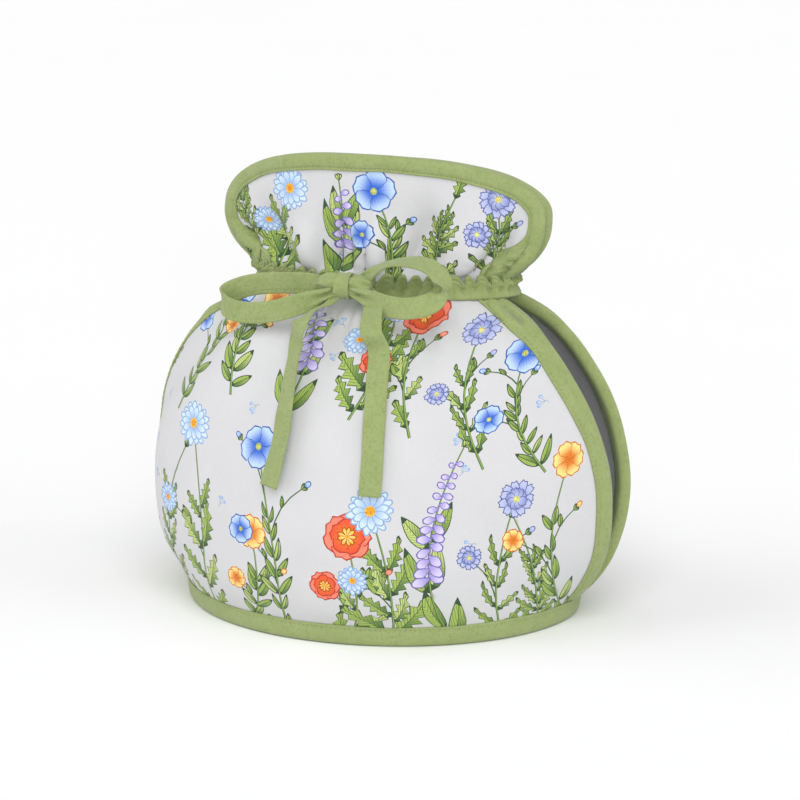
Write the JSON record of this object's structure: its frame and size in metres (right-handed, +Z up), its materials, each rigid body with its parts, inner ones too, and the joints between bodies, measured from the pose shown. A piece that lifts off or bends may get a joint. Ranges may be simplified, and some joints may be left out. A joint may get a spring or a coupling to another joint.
{
  "type": "tea cosy",
  "caption": "Drawstring tea cosy of two padded cotton panels with green bound edges, a hem band, a gathered neck and a bow, open at both sides for the spout and handle.",
  "frame": {"origin": "middle of the whole outline, on the surface the hem stands on", "axes": "+Z up; +X to the handle side; -Y is the front, with the bow"},
  "size_m": [0.2458, 0.2, 0.2301],
  "materials": {
    "printed_cotton": "padded white cotton with a wildflower print",
    "green_tape": "plain sage green cotton"
  },
  "bodies": {
    "root": {"front_panel": "printed_cotton", "back_panel": "printed_cotton", "front_binding": "green_tape", "back_binding": "green_tape", "hem_band": "green_tape", "neck_casing": "green_tape", "tie": "green_tape"}
  },
  "joints": []
}
